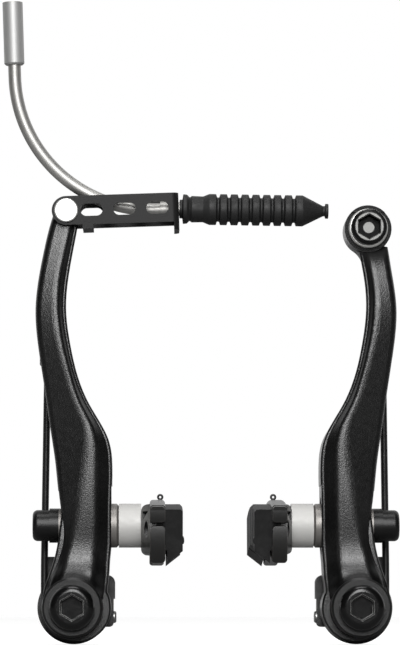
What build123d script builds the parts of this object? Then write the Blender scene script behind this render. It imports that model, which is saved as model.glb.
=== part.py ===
# Linear-pull rim brake pair: two arms on frame bosses, shoes, noodle link and boot.
# Millimetres. X to the right seen from the front, Y into the frame, Z up.
# The origin lies midway between the two bosses, on the plane that they stand on.
import os
from collections import namedtuple
from math import cos, degrees, radians, sin, sqrt

from build123d import *

os.makedirs("parts", exist_ok=True)

# Frame bosses and pivot stack, measured forward from the boss plane
boss_spacing = 80.0
carrier_bore = 8.5
bushing_bore = 8.1
bushing_radius = 5.5
carrier_depth = 6.0
arm_boss_depth = 18.7
arm_boss_radius = 9.7
arm_boss_shift = 1.0
arm_boss_ledge = 20.8
arm_boss_bevel = 0.5
arm_hub_radius = 8.6
arm_hub_draft = 6.0
arm_end_play = 0.3
running_clearance = 0.05
cable_plane = 14.5

# Mounting bolt and its washer
flange_radius = 8.3
flange_thickness = 1.5
flange_bevel = 0.6
bolt_head_radius = 6.3
bolt_head_height = 4.2
bolt_head_round = 2.0
bolt_radius = 3.0
bolt_neck_radius = 2.8
bolt_neck_length = 3.0
bolt_length = 17.6
bolt_hole_clearance = 0.15
bolt_tip_bevel = 0.6
hex_flats = 5.9
hex_depth = 3.2
hex_mouth_bevel = 0.3
hex_turn = 30.0

# Spring carrier, stop pin, return spring and tension screw
carrier_flange_radius = 10.3
carrier_flange_thickness = 1.6
carrier_hub_radius = 6.9
carrier_wing_height = 14.4
carrier_wing_width = 4.6
carrier_wing_out = 6.9
block_overlap = 0.5
block_step = 2.5
block_top = 9.2
block_bottom = -5.4
block_reach = 11.7
block_round = 2.2
block_foot_round = 1.2
spring_wire_radius = 1.0
spring_bend_radius = 8.3
spring_slot_clearance = 0.2
spring_height = 76.0
spring_end_height = 5.0
spring_leg_bend = 12.0
spring_lean_in = 0.9
spring_lean_forward = 3.0
spring_sweep_radius = 60.0
stop_pin_radius = 1.2
stop_pin_spigot = 0.9
stop_pin_circle = 8.2
stop_pin_length = 5.0
stop_pin_seat = 1.0
screw_radius = 1.5
screw_head_radius = 1.7
screw_head_height = 0.8
screw_head_round = 0.6
screw_height = -2.6
screw_slot_width = 0.6
screw_slot_length = 2.2
screw_slot_depth = 0.5
screw_face = 11.3
screw_tip_gap = 0.15

# Arm
rivet_out = 2.1
rivet_height = 111.0
shoulder_height = 46.5
tip_radius = 3.7
tip_half_depth = 4.3
anchor_out = 2.6
anchor_drop = 5.0
anchor_boss_radius = 6.6
anchor_boss_front = 20.4
anchor_web_radius = 6.0
anchor_web_depth = 7.2
edge_round = 1.2
crest_round = 2.4
outer_round = 2.0
ledge_width = 1.0
ledge_round = 0.4
side_draft = 0.8
side_draft_rise = 0.16
lip_rear = 0.32
lip_root = 0.2
rear_pocket_wall = 1.9
rear_pocket_floor = 3.2
rear_pocket_mouth = 1.0
rear_pocket_from = 1.4
rear_pocket_to = 1.85
arm_reach = 10.0
spring_lug_width = 1.0
spring_lug_depth = 3.6
spring_lug_front = 11.0
spring_lug_rear = 5.4
spring_past_lug = 4.0

# Shoe seat in the arm
shoe_height = 22.9
seat_reach = 10.7
seat_wall = 9.1
slot_width = 8.0
shoe_travel = 4.0
seat_pocket_margin = 0.8

# Ball washers, plain washer, stud and nut
inner_washer_radius = 6.15
outer_washer_radius = 4.8
convex_rim = 1.5
convex_hole_radius = 3.9
ball_clearance = 0.05
bowl_margin = 0.6
thick_washer = 6.2
thin_washer = 2.6
stud_radius = 3.0
stud_clearance = 0.1
stud_seat = 2.6
stud_end_gap = 3.4
plain_washer_radius = 4.8
plain_washer_thickness = 1.0
nut_flange_radius = 4.8
nut_flange_length = 2.6
nut_radius = 4.35
nut_length = 7.3
nut_round = 1.4
nut_hex_flats = 5.0

# Shoe
shoe_length = 70.0
rim_radius = 262.0
shoe_drop = 0.7
spine_thickness = 2.4
spine_half_height = 6.8
spine_drop = 1.3
spine_round = 1.6
spine_length = 46.0
spine_top_length = 15.0
spine_eye_height = 5.2
spine_eye_width = 1.1
spine_eye_depth = 1.4
spine_notch_height = 2.6
spine_notch_top = 4.6
spine_rib = 0.4
holder_thickness = 4.2
holder_half_height = 7.8
holder_round = 0.9
holder_slit = 0.5
holder_slit_top = 4.5
groove_half_height = 3.2
groove_depth = 2.6
groove_clearance = 0.1
end_stop_length = 2.2
end_stop_top = 2.3
end_stop_inset = 0.15
end_stop_gap = 1.1
pad_thickness = 4.2
pad_top = 6.6
pad_bottom = 8.0
pad_bevel_height = 3.3
pad_top_bevel = 0.6
pad_slot_width = 2.0
pad_slot_depth = 2.2
pad_slot_pitch = 17.0
pad_nub_height = 1.8
pad_nub_width = 0.4
pad_nub_length = 4.0
pad_nub_drop = 1.9
pin_wire_radius = 0.3
pin_loop_radius = 0.6
pin_ahead = 9.0
pin_bite = 1.0

# Link and rivet
link_tilt = 2.0
link_gap = 9.2
link_plate = 1.4
link_half_height = 4.05
link_length = 31.6
link_bend_radius = 1.9
link_slot_length = 6.3
link_slot_width = 3.5
link_first_slot = 7.1
link_slot_pitch = 9.25
link_end_drop = 6.4
link_strap_at = 6.0
link_strap_width = 3.0
link_strap_drop = 1.2
link_hole_radius = 2.05
link_entry_width = 2.4
rivet_radius = 2.0
rivet_head_radius = 3.35
rivet_head_height = 0.9

# Noodle and boot
noodle_bend = 39.0
noodle_radius = 1.8
noodle_wall = 0.5
noodle_run_out = 3.1
noodle_straight = 3.5
ferrule_radius = 2.85
ferrule_bore = 5.1
ferrule_length = 17.8
ferrule_grip = 3.4
ferrule_floor = 0.8
nose_sleeve_length = 2.2
nose_shoulder_length = 1.5
nose_sleeve_radius = 2.35
nose_shoulder_radius = 2.7
nose_length = 3.0
nose_radius = 1.95
liner_radius = 1.25
liner_bore = 1.8
liner_stick_out = 1.0
boot_gap = 0.25
boot_bore_radius = 2.2
boot_droop = 2.8
boot_rib_radius = 4.38
boot_groove_radius = 3.42
boot_rib_width = 1.9
boot_rib_pitch = 3.05
boot_ribs = 9
boot_first_rib = 8.4
boot_length = 42.0
boot_cone_length = 5.8
boot_collar_radius = 2.65
boot_collar_length = 0.8
boot_lip_radius = 4.2
boot_lip_width = 1.1
boot_waist_at = 2.9
boot_waist_radius = 3.3
boot_sleeve_start = 3.4
boot_sleeve_end = 6.6
boot_sleeve_radius = 3.75
boot_tip_radius = 1.45
boot_bead_radius = 2.1
boot_bead_width = 0.9
boot_edge = 0.1
boot_wide_bore = 2.4
boot_tip_bore = 0.95

# Cable clamp
clamp_washer_radius = 5.5
clamp_washer_thickness = 1.7
clamp_head_radius = 4.95
clamp_head_height = 4.4
clamp_head_bevel = 0.9
cable_groove_depth = 0.6
cable_groove_width = 1.6

# Places that follow from the sizes above
pivot_x = -boss_spacing / 2
boss_rear = carrier_depth + arm_end_play
boss_front = boss_rear + arm_boss_depth
bushing_front = boss_front + arm_end_play
washer_front = bushing_front + flange_thickness
head_front = washer_front + bolt_head_height
wire_plane = (carrier_flange_thickness + carrier_depth) / 2
seat_x = pivot_x + seat_reach
ball_x = seat_x - seat_wall / 2
shoe_pose = Plane((0, -cable_plane, shoe_height), x_dir=(1, 0, 0), z_dir=(0, -1, 0))
stud_axis = Axis((0, -cable_plane, shoe_height), (1, 0, 0))


def front_plane(forward):
    """Sketch plane facing the viewer, the given distance in front of the bosses' plane."""
    return Plane.XZ.offset(forward)


def save(piece, name):
    """Label one finished sub-part and write its file."""
    piece.label = name
    export_step(piece, f"parts/{name}.step")


def hex_socket(front, centre):
    """Cut a hex socket with a bevelled mouth into the head that is being built."""
    with BuildSketch(front_plane(front)) as socket:
        with Locations(centre):
            RegularPolygon(hex_flats / 2, 6, major_radius=False, rotation=hex_turn)
    extrude(socket.sketch, amount=-hex_depth, mode=Mode.SUBTRACT)
    mouth_half = hex_flats / 2 + hex_mouth_bevel
    with BuildSketch(front_plane(front)) as mouth:
        with Locations(centre):
            RegularPolygon(mouth_half, 6, major_radius=False, rotation=hex_turn)
    extrude(mouth.sketch, amount=-hex_mouth_bevel, taper=45, mode=Mode.SUBTRACT)


# Pivot bushing: the sleeve that the arm turns on
with BuildPart() as pivot_bushing:
    with BuildSketch(front_plane(carrier_depth)):
        with Locations((pivot_x, 0)):
            Circle(bushing_radius)
            Circle(bushing_bore / 2, mode=Mode.SUBTRACT)
    extrude(amount=bushing_front - carrier_depth)

# Flange washer between the bushing and the bolt head
with BuildPart() as flange_washer:
    with BuildSketch(front_plane(bushing_front)):
        with Locations((pivot_x, 0)):
            Circle(flange_radius)
            Circle(bolt_neck_radius + bolt_hole_clearance, mode=Mode.SUBTRACT)
    extrude(amount=flange_thickness)
    rim = flange_washer.faces().sort_by(Axis.Y)[0].edges().sort_by(SortBy.RADIUS)[-1]
    chamfer(rim, flange_bevel)

# Mounting bolt: button head, neck through the washer, M6 shank into the boss
with BuildPart() as mounting_bolt:
    with BuildSketch(front_plane(washer_front)):
        with Locations((pivot_x, 0)):
            Circle(bolt_head_radius)
    extrude(amount=bolt_head_height)
    fillet(mounting_bolt.faces().sort_by(Axis.Y)[0].edges(), bolt_head_round)
    hex_socket(head_front, (pivot_x, 0))
    with BuildSketch(front_plane(washer_front)):
        with Locations((pivot_x, 0)):
            Circle(bolt_neck_radius)
    extrude(amount=-bolt_neck_length)
    with BuildSketch(front_plane(washer_front - bolt_neck_length)):
        with Locations((pivot_x, 0)):
            Circle(bolt_radius)
    extrude(amount=-(bolt_length - bolt_neck_length))
    chamfer(mounting_bolt.faces().sort_by(Axis.Y)[-1].edges(), bolt_tip_bevel)

# Spring carrier: plastic hub on the boss, with the spring's seat and the screw's block
block_inner = carrier_hub_radius - block_overlap
slot_inner = spring_bend_radius - spring_wire_radius - spring_slot_clearance
slot_outer = spring_bend_radius + spring_wire_radius + spring_slot_clearance
slot_floor = wire_plane - spring_wire_radius - spring_slot_clearance
with BuildPart() as spring_carrier:
    with BuildSketch(front_plane(0)):
        with Locations((pivot_x, 0)):
            Circle(carrier_flange_radius)
        with Locations((pivot_x - carrier_wing_out, carrier_wing_height / 2)):
            Rectangle(carrier_wing_width, carrier_wing_height)
    extrude(amount=carrier_flange_thickness)
    with BuildSketch(front_plane(0)):
        with Locations((pivot_x, 0)):
            Circle(carrier_hub_radius)
    extrude(amount=carrier_depth)
    with BuildSketch(front_plane(0)) as block:
        with BuildLine():
            Polyline(
                (pivot_x + block_inner, block_bottom),
                (pivot_x + screw_face, block_bottom),
                (pivot_x + screw_face, block_step),
                (pivot_x + block_reach, block_step),
                (pivot_x + block_reach, block_top),
                (pivot_x + block_inner, block_top),
                close=True,
            )
        make_face()
        top_corner = block.vertices().sort_by_distance((pivot_x + block_reach, block_top))[0]
        fillet(top_corner, block_round)
        foot_corner = block.vertices().sort_by_distance((pivot_x + screw_face, block_bottom))[0]
        fillet(foot_corner, block_foot_round)
    extrude(amount=carrier_depth)
    with BuildSketch(front_plane(slot_floor)):
        with Locations((pivot_x, 0)):
            Circle(slot_outer)
            Circle(slot_inner, mode=Mode.SUBTRACT)
        with Locations((pivot_x + spring_bend_radius, spring_end_height / 2)):
            Rectangle(slot_outer - slot_inner, spring_end_height + 2 * spring_slot_clearance)
    extrude(amount=carrier_depth, mode=Mode.SUBTRACT)
    with BuildSketch(front_plane(0)):
        with Locations((pivot_x, 0)):
            Circle(carrier_bore / 2)
    extrude(amount=carrier_depth, mode=Mode.SUBTRACT)
    with BuildSketch(Plane.YZ.offset(pivot_x + spring_bend_radius)):
        with Locations((-wire_plane, screw_height)):
            Circle(screw_radius)
    extrude(amount=block_reach, mode=Mode.SUBTRACT)
    with BuildSketch(front_plane(0)):
        with Locations((pivot_x, -stop_pin_circle)):
            Circle(stop_pin_spigot)
    extrude(amount=stop_pin_seat, mode=Mode.SUBTRACT)

# Stop pin: fits one of the holes beside the frame boss
with BuildPart() as stop_pin:
    with BuildSketch(front_plane(0)):
        with Locations((pivot_x, -stop_pin_circle)):
            Circle(stop_pin_spigot)
    extrude(amount=stop_pin_seat)
    with BuildSketch(front_plane(0)):
        with Locations((pivot_x, -stop_pin_circle)):
            Circle(stop_pin_radius)
    extrude(amount=-stop_pin_length)

# Return spring: wire hooked under the pivot, up the outside of the arm to its lug
with BuildPart() as return_spring:
    with BuildLine() as spring_path:
        spring_tail = Line(
            (pivot_x + spring_bend_radius, -wire_plane, spring_end_height),
            (pivot_x + spring_bend_radius, -wire_plane, 0),
        )
        ThreePointArc(
            spring_tail @ 1,
            (pivot_x, -wire_plane, -spring_bend_radius),
            (pivot_x - spring_bend_radius, -wire_plane, 0),
        )
        FilletPolyline(
            (pivot_x - spring_bend_radius, -wire_plane, 0),
            (pivot_x - spring_bend_radius, -wire_plane, spring_leg_bend),
            (
                pivot_x - spring_bend_radius + spring_lean_in,
                -wire_plane - spring_lean_forward,
                spring_height,
            ),
            radius=spring_sweep_radius,
        )
    with BuildSketch(Plane(spring_tail @ 0, z_dir=spring_tail % 0)):
        Circle(spring_wire_radius)
    sweep(path=spring_path.wire())

# Tension screw: turned from the wheel's side, its tip bears on the spring's tail
screw_tip = spring_bend_radius + spring_wire_radius + screw_tip_gap
with BuildPart() as tension_screw:
    with BuildSketch(Plane.YZ.offset(pivot_x + screw_tip)):
        with Locations((-wire_plane, screw_height)):
            Circle(screw_radius)
    extrude(amount=screw_face - screw_tip)
    with BuildSketch(Plane.YZ.offset(pivot_x + screw_face)):
        with Locations((-wire_plane, screw_height)):
            Circle(screw_head_radius)
    extrude(amount=screw_head_height)
    head_edge = tension_screw.faces().sort_by(Axis.X)[-1].edges()
    fillet(head_edge, screw_head_round)
    with BuildSketch(Plane.YZ.offset(pivot_x + screw_face + screw_head_height)):
        with Locations((-wire_plane, screw_height)):
            Rectangle(screw_slot_length, screw_slot_width)
            Rectangle(screw_slot_width, screw_slot_length)
    extrude(amount=-screw_slot_depth, mode=Mode.SUBTRACT)

# Arm: level sections from the pivot to the tip. Heights below 1 are parts of the shoulder's
# height, those above it go on to the rivet. Sideways places are parts of the arm's reach from
# the pivot, forward places parts of the boss's front, and the soft values parts of the crest's
# rounding. The crest falls steeply to a narrow ledge along the arm's inner edge.
Station = namedtuple(
    "Station",
    "height outer crest_out crest_in inner front outer_front inner_front rear soft_out soft_in",
)
stations = [
    Station(0.05, -0.72, -0.40, 0.57, 0.94, 0.990, 0.926, 0.832, 0.288, 1.0, 1.0),
    Station(0.11, -0.66, -0.38, 0.58, 0.97, 0.992, 0.924, 0.832, 0.288, 1.0, 1.0),
    Station(0.17, -0.59, -0.34, 0.58, 1.00, 0.992, 0.920, 0.832, 0.288, 1.0, 1.0),
    Station(0.22, -0.51, -0.26, 0.58, 1.02, 0.968, 0.880, 0.828, 0.288, 1.0, 1.0),
    Station(0.27, -0.43, -0.18, 0.58, 1.03, 0.928, 0.860, 0.824, 0.288, 1.0, 1.2),
    Station(0.32, -0.37, -0.12, 0.58, 1.05, 0.908, 0.848, 0.820, 0.288, 1.0, 1.4),
    Station(0.37, -0.32, -0.05, 0.59, 1.07, 0.900, 0.840, 0.816, 0.288, 1.2, 1.4),
    Station(0.47, -0.28, 0.05, 0.62, 1.075, 0.904, 0.836, 0.816, 0.288, 2.0, 1.4),
    Station(0.65, -0.38, 0.20, 0.64, 1.08, 0.912, 0.836, 0.816, 0.288, 3.0, 1.4),
    Station(0.88, -0.50, 0.33, 0.645, 1.09, 0.904, 0.804, 0.808, 0.296, 3.0, 1.2),
    Station(1.00, -0.585, 0.37, 0.62, 1.00, 0.896, 0.788, 0.800, 0.312, 2.5, 0.8),
    Station(1.07, -0.66, 0.30, 0.50, 0.79, 0.884, 0.780, 0.784, 0.328, 2.0, 0.6),
    Station(1.16, -0.75, 0.05, 0.21, 0.45, 0.868, 0.780, 0.776, 0.344, 2.0, 0.5),
    Station(1.27, -0.86, -0.18, -0.02, 0.15, 0.852, 0.782, 0.780, 0.356, 2.0, 0.5),
    Station(1.41, -1.00, -0.43, -0.27, -0.07, 0.836, 0.784, 0.772, 0.364, 2.0, 0.5),
    Station(1.57, -1.08, -0.58, -0.42, -0.20, 0.816, 0.786, 0.756, 0.372, 2.0, 0.5),
    Station(1.72, -0.985, -0.52, -0.37, -0.13, 0.788, 0.772, 0.728, 0.388, 2.0, 0.5),
    Station(1.845, -0.835, -0.36, -0.20, 0.01, 0.764, 0.756, 0.704, 0.404, 2.0, 0.5),
    Station(1.93, -0.71, -0.26, -0.09, 0.11, 0.744, 0.736, 0.692, 0.412, 2.0, 0.5),
    Station(2.00, -0.57, -0.20, -0.04, 0.15, 0.736, 0.728, 0.688, 0.416, 2.0, 0.5),
]
# The arm with the cable anchor rises to the anchor's boss above its last plain section
anchor_stations = stations[:-4] + [
    Station(1.70, -1.00, -0.54, -0.39, -0.16, 0.772, 0.760, 0.716, 0.388, 2.0, 0.5),
    Station(1.775, -0.925, -0.45, -0.30, -0.08, 0.756, 0.744, 0.704, 0.396, 2.0, 0.5),
    Station(1.845, -0.835, -0.36, -0.20, 0.01, 0.820, 0.804, 0.720, 0.404, 2.0, 0.5),
]
pocket_stations = [
    station for station in stations if rear_pocket_from < station.height < rear_pocket_to
]
# Lip along the foot of the outer edge: height, outer edge and front
Lip = namedtuple("Lip", "height outer front")
lips = [
    Lip(-0.08, -0.78, 0.828),
    Lip(0.00, -0.85, 0.840),
    Lip(0.17, -0.70, 0.848),
    Lip(0.27, -0.54, 0.848),
    Lip(0.37, -0.43, 0.844),
    Lip(0.47, -0.365, 0.832),
    Lip(0.60, -0.33, 0.804),
]


def station_height(station):
    """Height of a section above the pivot."""
    if station.height <= 1:
        return shoulder_height * station.height
    return shoulder_height + (rivet_height - shoulder_height) * (station.height - 1)


def rounded_section(station, outline):
    """Level face through corners given as parts of the arm's sizes, each with its rounding."""
    corners = [
        ((pivot_x + arm_reach * side, -boss_front * forward), radius)
        for side, forward, radius in outline
    ]
    with BuildSketch(Plane.XY.offset(station_height(station))) as section:
        with BuildLine():
            Polyline([point for point, _ in corners], close=True)
        make_face()
        for point, radius in corners:
            fillet(section.vertices().sort_by_distance(point)[0], radius)
    return section.sketch


def arm_section(station):
    """One level section of the arm, with a soft crest and sides that lean in to the rear."""
    rise = min(1.0, max(0.0, station.height - 1) / side_draft_rise)
    lean = rise * side_draft / arm_reach
    outline = [
        (station.outer + lean, station.rear, edge_round),
        (station.inner - lean, station.rear, edge_round),
        (station.inner, station.inner_front, edge_round / 2),
        (station.inner - ledge_width / arm_reach, station.inner_front, ledge_round),
        (station.crest_in, station.front, crest_round * station.soft_in),
        (station.crest_out, station.front, crest_round * station.soft_out),
        (station.outer, station.outer_front, outer_round),
    ]
    return rounded_section(station, outline)


def lip_section(lip):
    """One level section of the lip at the foot of the outer edge."""
    outline = [
        (lip.outer, lip_rear, edge_round),
        (lip_root, lip_rear, edge_round),
        (lip_root, lip.front, edge_round / 2),
        (lip.outer, lip.front, edge_round / 2),
    ]
    return rounded_section(lip, outline)


def pocket_section(station):
    """One level section of the hollow in the arm's rear."""
    left = pivot_x + arm_reach * station.outer + rear_pocket_wall
    right = pivot_x + arm_reach * station.inner - rear_pocket_wall
    back = rear_pocket_mouth - boss_front * station.rear
    deep = rear_pocket_floor - boss_front * station.front
    with BuildSketch(Plane.XY.offset(station_height(station))) as section:
        with Locations(((left + right) / 2, (back + deep) / 2)):
            Rectangle(right - left, back - deep)
    return section.sketch


def arm_common():
    """Cut and add what both arms share, on the arm body that is being built."""
    with BuildSketch(front_plane(boss_rear)) as boss:
        with Locations((pivot_x + arm_boss_shift, 0)):
            Circle(arm_boss_radius)
    extrude(boss.sketch, amount=arm_boss_ledge - arm_boss_bevel - boss_rear)
    with BuildSketch(front_plane(arm_boss_ledge - arm_boss_bevel)) as rim:
        with Locations((pivot_x + arm_boss_shift, 0)):
            Circle(arm_boss_radius)
    extrude(rim.sketch, amount=arm_boss_bevel, taper=45)
    with BuildSketch(front_plane(arm_boss_ledge - arm_boss_bevel)) as hub:
        with Locations((pivot_x, 0)):
            Circle(arm_hub_radius)
    extrude(hub.sketch, amount=boss_front - arm_boss_ledge + arm_boss_bevel, taper=arm_hub_draft)
    with BuildSketch(front_plane(boss_rear)) as bore:
        with Locations((pivot_x, 0)):
            Circle(bushing_radius + running_clearance)
    extrude(bore.sketch, amount=boss_front, mode=Mode.SUBTRACT)
    with BuildSketch(front_plane(boss_front)) as face:
        with Locations((pivot_x, 0)):
            Circle(arm_boss_radius)
    extrude(face.sketch, amount=arm_boss_depth, mode=Mode.SUBTRACT)
    # Flat seats for the ball washers, the outer one in a pocket open to the rear
    pocket_half = outer_washer_radius + seat_pocket_margin
    pocket_reach = pocket_half + shoe_travel
    with BuildSketch(Plane.YZ.offset(seat_x - seat_wall)) as pocket:
        with Locations((-cable_plane + pocket_half, shoe_height)):
            Rectangle(4 * pocket_half, 2 * pocket_reach)
    extrude(pocket.sketch, amount=-boss_spacing / 2, mode=Mode.SUBTRACT)
    with BuildSketch(Plane.YZ.offset(seat_x)) as seat:
        with Locations((-cable_plane, shoe_height)):
            Rectangle(4 * inner_washer_radius, 2 * (inner_washer_radius + shoe_travel) + 2)
    extrude(seat.sketch, amount=2, mode=Mode.SUBTRACT)
    with BuildSketch(Plane.YZ.offset(seat_x + 1)) as slot:
        with Locations((-cable_plane, shoe_height)):
            SlotCenterToCenter(2 * shoe_travel, slot_width, rotation=90)
    extrude(slot.sketch, amount=-boss_spacing / 4, mode=Mode.SUBTRACT)


def spring_lug():
    """Raised lip on the arm's rear, at its outer edge, that the spring's end bears against."""
    lug_height = spring_height - spring_past_lug
    lug_out = spring_bend_radius - spring_lean_in + spring_wire_radius + spring_slot_clearance
    with BuildSketch(front_plane(spring_lug_front)) as lug:
        with Locations((pivot_x - lug_out - spring_lug_width / 2, lug_height)):
            Rectangle(spring_lug_width, 2 * spring_lug_depth)
    extrude(lug.sketch, amount=spring_lug_rear - spring_lug_front)


with BuildPart() as left_arm:
    loft([arm_section(station) for station in stations])
    loft([lip_section(lip) for lip in lips])
    loft([pocket_section(station) for station in pocket_stations], mode=Mode.SUBTRACT)
    with BuildSketch(front_plane(cable_plane - tip_half_depth)):
        with Locations((pivot_x - rivet_out, rivet_height)):
            Circle(tip_radius)
    extrude(amount=2 * tip_half_depth)
    arm_common()
    spring_lug()
    with BuildSketch(front_plane(0)):
        with Locations((pivot_x - rivet_out, rivet_height)):
            Circle(rivet_radius)
    extrude(amount=2 * cable_plane, mode=Mode.SUBTRACT)
save(left_arm.part, "left_arm")

# Right arm: drawn as a left one with the anchor's boss at the tip, then mirrored
anchor = (pivot_x - anchor_out, rivet_height - anchor_drop)
# Web between the anchor's boss and the arm's inner edge, hollowed by an arc that touches both
web_edge = pivot_x + arm_reach * anchor_stations[-2].inner - side_draft
web_centre_x = web_edge + anchor_web_radius
web_reach = anchor_boss_radius + anchor_web_radius
web_side = (web_centre_x - anchor[0]) / web_reach
web_fall = sqrt(1 - web_side**2)
web_centre_z = anchor[1] - web_reach * web_fall
web_foot = (web_edge, web_centre_z)
web_head = (
    web_centre_x - anchor_web_radius * web_side,
    web_centre_z + anchor_web_radius * web_fall,
)
web_half = sqrt((1 + web_side) / 2)
web_middle = (
    web_centre_x - anchor_web_radius * web_half,
    web_centre_z + anchor_web_radius * sqrt(1 - web_half**2),
)
with BuildPart() as anchor_arm:
    loft([arm_section(station) for station in anchor_stations])
    loft([lip_section(lip) for lip in lips])
    loft([pocket_section(station) for station in pocket_stations], mode=Mode.SUBTRACT)
    with BuildSketch(front_plane(cable_plane - tip_half_depth)):
        with Locations(anchor):
            Circle(anchor_boss_radius)
    extrude(amount=anchor_boss_front - cable_plane + tip_half_depth)
    with BuildSketch(front_plane(cable_plane - tip_half_depth)):
        with BuildLine():
            ThreePointArc(web_foot, web_middle, web_head)
            Polyline(web_head, anchor, (anchor[0], web_foot[1]), web_foot)
        make_face()
    extrude(amount=anchor_web_depth)
    arm_common()
    spring_lug()
    with BuildSketch(front_plane(0)):
        with Locations(anchor):
            Circle(bolt_radius)
    extrude(amount=2 * cable_plane, mode=Mode.SUBTRACT)
    with BuildSketch(front_plane(anchor_boss_front)):
        with Locations((anchor[0], anchor[1] + bolt_radius + cable_groove_width / 2)):
            Rectangle(4 * anchor_boss_radius, cable_groove_width)
    extrude(amount=-cable_groove_depth, mode=Mode.SUBTRACT)
with BuildPart() as right_arm:
    mirror(anchor_arm.part, about=Plane.YZ)
save(right_arm.part, "right_arm")

# Cable clamp: washer and bolt on the right arm's tip
clamp_seat = anchor_boss_front + clamp_washer_thickness
with BuildPart() as clamp_washer:
    with BuildSketch(front_plane(anchor_boss_front)):
        with Locations((-anchor[0], anchor[1])):
            Circle(clamp_washer_radius)
            Circle(bolt_radius + bolt_hole_clearance, mode=Mode.SUBTRACT)
    extrude(amount=clamp_washer_thickness)
    rim = clamp_washer.faces().sort_by(Axis.Y)[0].edges().sort_by(SortBy.RADIUS)[-1]
    fillet(rim, clamp_washer_thickness / 3)
save(clamp_washer.part, "cable_clamp_washer")

with BuildPart() as clamp_bolt:
    with BuildSketch(front_plane(clamp_seat)):
        with Locations((-anchor[0], anchor[1])):
            Circle(clamp_head_radius)
    extrude(amount=clamp_head_height)
    chamfer(clamp_bolt.faces().sort_by(Axis.Y)[0].edges(), clamp_head_bevel)
    hex_socket(clamp_seat + clamp_head_height, (-anchor[0], anchor[1]))
    with BuildSketch(front_plane(clamp_seat)):
        with Locations((-anchor[0], anchor[1])):
            Circle(bolt_radius)
    extrude(amount=-(clamp_seat - cable_plane + tip_half_depth))
    chamfer(clamp_bolt.faces().sort_by(Axis.Y)[-1].edges(), bolt_tip_bevel)
save(clamp_bolt.part, "cable_clamp_bolt")


# Ball washers: profiles turned about the stud, on the ball's centre in the arm's wall
def ball_radius(washer_radius):
    """Ball that passes through the edge between a convex washer's rim and its dome."""
    return sqrt(washer_radius**2 + (seat_wall / 2 + convex_rim) ** 2)


def on_ball(side, ball, height):
    """Point of the ball's surface at a height above the stud's axis."""
    return (ball_x + side * sqrt(ball**2 - height**2), height)


def convex_profile(side, washer_radius):
    """Half section of a washer that is flat on the arm and domed away from it."""
    ball = ball_radius(washer_radius)
    middle = (washer_radius + convex_hole_radius) / 2
    seat = ball_x + side * seat_wall / 2
    with BuildSketch(shoe_pose) as profile:
        with BuildLine():
            Polyline(
                on_ball(side, ball, convex_hole_radius),
                (seat, convex_hole_radius),
                (seat, washer_radius),
                on_ball(side, ball, washer_radius),
            )
            ThreePointArc(
                on_ball(side, ball, washer_radius),
                on_ball(side, ball, middle),
                on_ball(side, ball, convex_hole_radius),
            )
        make_face()
    return profile.sketch


def concave_profile(side, washer_radius, flat_x):
    """Half section of a washer with a bowl towards the arm and a flat face away from it."""
    ball = ball_radius(washer_radius) + ball_clearance
    hole = stud_radius + stud_clearance
    lip = washer_radius - bowl_margin
    rim_x = on_ball(side, ball, lip)[0]
    with BuildSketch(shoe_pose) as profile:
        with BuildLine():
            ThreePointArc(
                on_ball(side, ball, hole),
                on_ball(side, ball, (hole + lip) / 2),
                on_ball(side, ball, lip),
            )
            Polyline(
                on_ball(side, ball, lip),
                (rim_x, washer_radius),
                (flat_x, washer_radius),
                (flat_x, hole),
                on_ball(side, ball, hole),
            )
        make_face()
    return profile.sketch


inner_lip = inner_washer_radius - bowl_margin
outer_lip = outer_washer_radius - bowl_margin
inner_rim_x = on_ball(1, ball_radius(inner_washer_radius) + ball_clearance, inner_lip)[0]
outer_rim_x = on_ball(-1, ball_radius(outer_washer_radius) + ball_clearance, outer_lip)[0]
thick_flat = inner_rim_x + thick_washer
thin_flat = outer_rim_x - thin_washer
nut_seat = thin_flat - plain_washer_thickness
nut_end = nut_seat - nut_length

with BuildPart() as inner_convex_washer:
    revolve(convex_profile(1, inner_washer_radius), axis=stud_axis)

with BuildPart() as inner_concave_washer:
    revolve(concave_profile(1, inner_washer_radius, thick_flat), axis=stud_axis)

with BuildPart() as outer_convex_washer:
    revolve(convex_profile(-1, outer_washer_radius), axis=stud_axis)

with BuildPart() as outer_concave_washer:
    revolve(concave_profile(-1, outer_washer_radius, thin_flat), axis=stud_axis)

# Plain washer and nut on the stud's outer end
with BuildPart() as plain_washer:
    with BuildSketch(Plane.YZ.offset(thin_flat)):
        with Locations((-cable_plane, shoe_height)):
            Circle(plain_washer_radius)
            Circle(stud_radius + stud_clearance, mode=Mode.SUBTRACT)
    extrude(amount=-plain_washer_thickness)

with BuildPart() as shoe_nut:
    with BuildSketch(Plane.YZ.offset(nut_seat)):
        with Locations((-cable_plane, shoe_height)):
            Circle(nut_flange_radius)
    extrude(amount=-nut_flange_length)
    with BuildSketch(Plane.YZ.offset(nut_seat)):
        with Locations((-cable_plane, shoe_height)):
            Circle(nut_radius)
    extrude(amount=-nut_length)
    fillet(shoe_nut.faces().sort_by(Axis.X)[0].edges(), nut_round)
    with BuildSketch(Plane.YZ.offset(nut_end)):
        with Locations((-cable_plane, shoe_height)):
            RegularPolygon(nut_hex_flats / 2, 6, major_radius=False)
    extrude(amount=stud_end_gap, mode=Mode.SUBTRACT)
    with BuildSketch(Plane.YZ.offset(nut_seat)):
        with Locations((-cable_plane, shoe_height)):
            Circle(stud_radius)
    extrude(amount=-(nut_length - stud_end_gap), mode=Mode.SUBTRACT)

# Shoe stud: M6, pressed into the holder's spine
with BuildPart() as shoe_stud:
    with BuildSketch(Plane.YZ.offset(thick_flat + stud_seat)):
        with Locations((-cable_plane, shoe_height)):
            Circle(stud_radius)
    extrude(amount=-(thick_flat + stud_seat - nut_end - stud_end_gap))

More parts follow.
